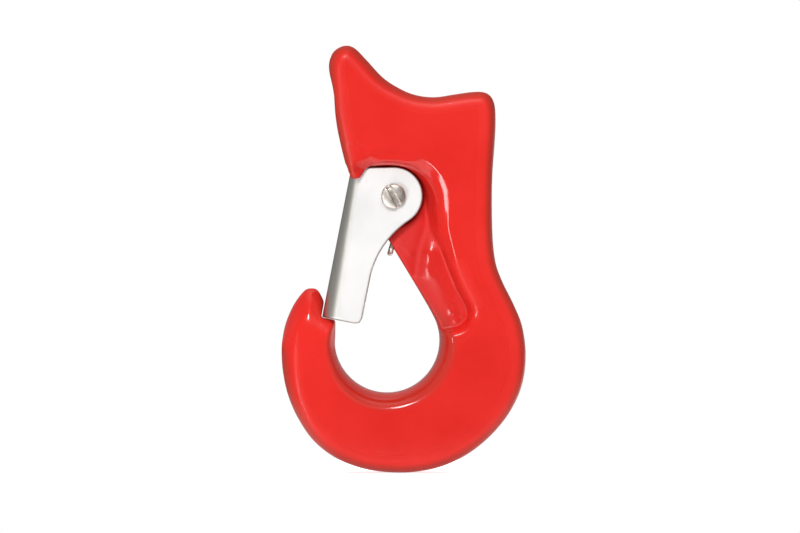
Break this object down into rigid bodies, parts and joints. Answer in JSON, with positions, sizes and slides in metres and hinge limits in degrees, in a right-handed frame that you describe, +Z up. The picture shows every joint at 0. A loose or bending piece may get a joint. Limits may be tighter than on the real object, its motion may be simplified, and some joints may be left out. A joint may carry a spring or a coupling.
{
  "type": "hook",
  "caption": "Forged sliding hook for wire rope: a rope passes through the tilted eye in its head, and a sprung safety latch closes the open bowl.",
  "frame": {"origin": "centre of the rope eye's parallel throat, on the hook's middle plane", "axes": "+Z up the hook, from the bowl towards the horn; +X from the latch side towards the back; Y is the hook's thickness"},
  "size_m": [0.0734, 0.0261, 0.1277],
  "materials": {
    "red_enamel": "gloss",
    "plated_sheet": "satin",
    "plated_screw": "satin",
    "plated_nut": "satin",
    "spring_wire": "satin"
  },
  "bodies": {
    "hook": {"hook_body": "red_enamel", "latch_screw": "plated_screw", "lock_nut": "plated_nut", "latch_spring": "spring_wire"},
    "latch": {"latch": "plated_sheet"}
  },
  "joints": [
    {"name": "latch_hinge", "type": "hinge", "parent": "hook", "child": "latch", "pos_m": [-0.00315, 0, -0.0181], "axis": [0, -1, 0], "range_deg": [0, 45], "stiffness_Nm_per_rad": 0.06, "springref_deg": -45.84, "deforming": ["latch_spring"]}
  ]
}
